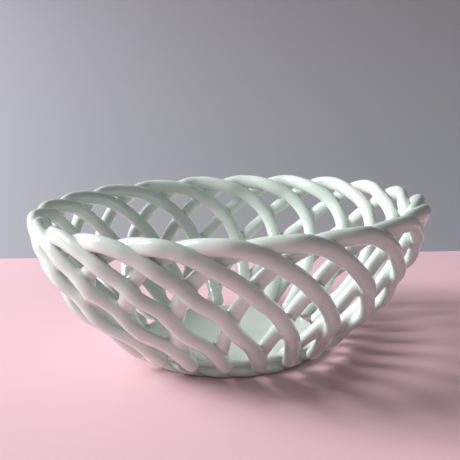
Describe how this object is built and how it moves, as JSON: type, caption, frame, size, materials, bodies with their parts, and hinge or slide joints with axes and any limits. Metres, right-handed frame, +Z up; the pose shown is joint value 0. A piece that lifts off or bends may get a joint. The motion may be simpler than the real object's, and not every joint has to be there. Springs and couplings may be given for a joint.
{
  "type": "openwork ceramic basket",
  "caption": "Round openwork ceramic basket with a lattice wall of overlapping looped clay strands on a flat base disc and a rope-like foot ring, under a pale glaze.",
  "frame": {"origin": "centre of the basket's footprint, on the surface it stands on", "axes": "+Z up, out of the open bowl; -Y towards the front; +X to the right"},
  "size_m": [0.2967, 0.2951, 0.1174],
  "materials": {
    "glaze": "gloss"
  },
  "bodies": {
    "root": {"strand_01": "glaze", "strand_02": "glaze", "strand_03": "glaze", "strand_04": "glaze", "strand_05": "glaze", "strand_06": "glaze", "strand_07": "glaze", "strand_08": "glaze", "strand_09": "glaze", "strand_10": "glaze", "strand_11": "glaze", "strand_12": "glaze", "strand_13": "glaze", "strand_14": "glaze", "strand_15": "glaze", "strand_16": "glaze", "strand_17": "glaze", "strand_18": "glaze", "strand_19": "glaze", "strand_20": "glaze", "strand_21": "glaze", "base_disc": "glaze", "foot_ring": "glaze"}
  },
  "joints": []
}
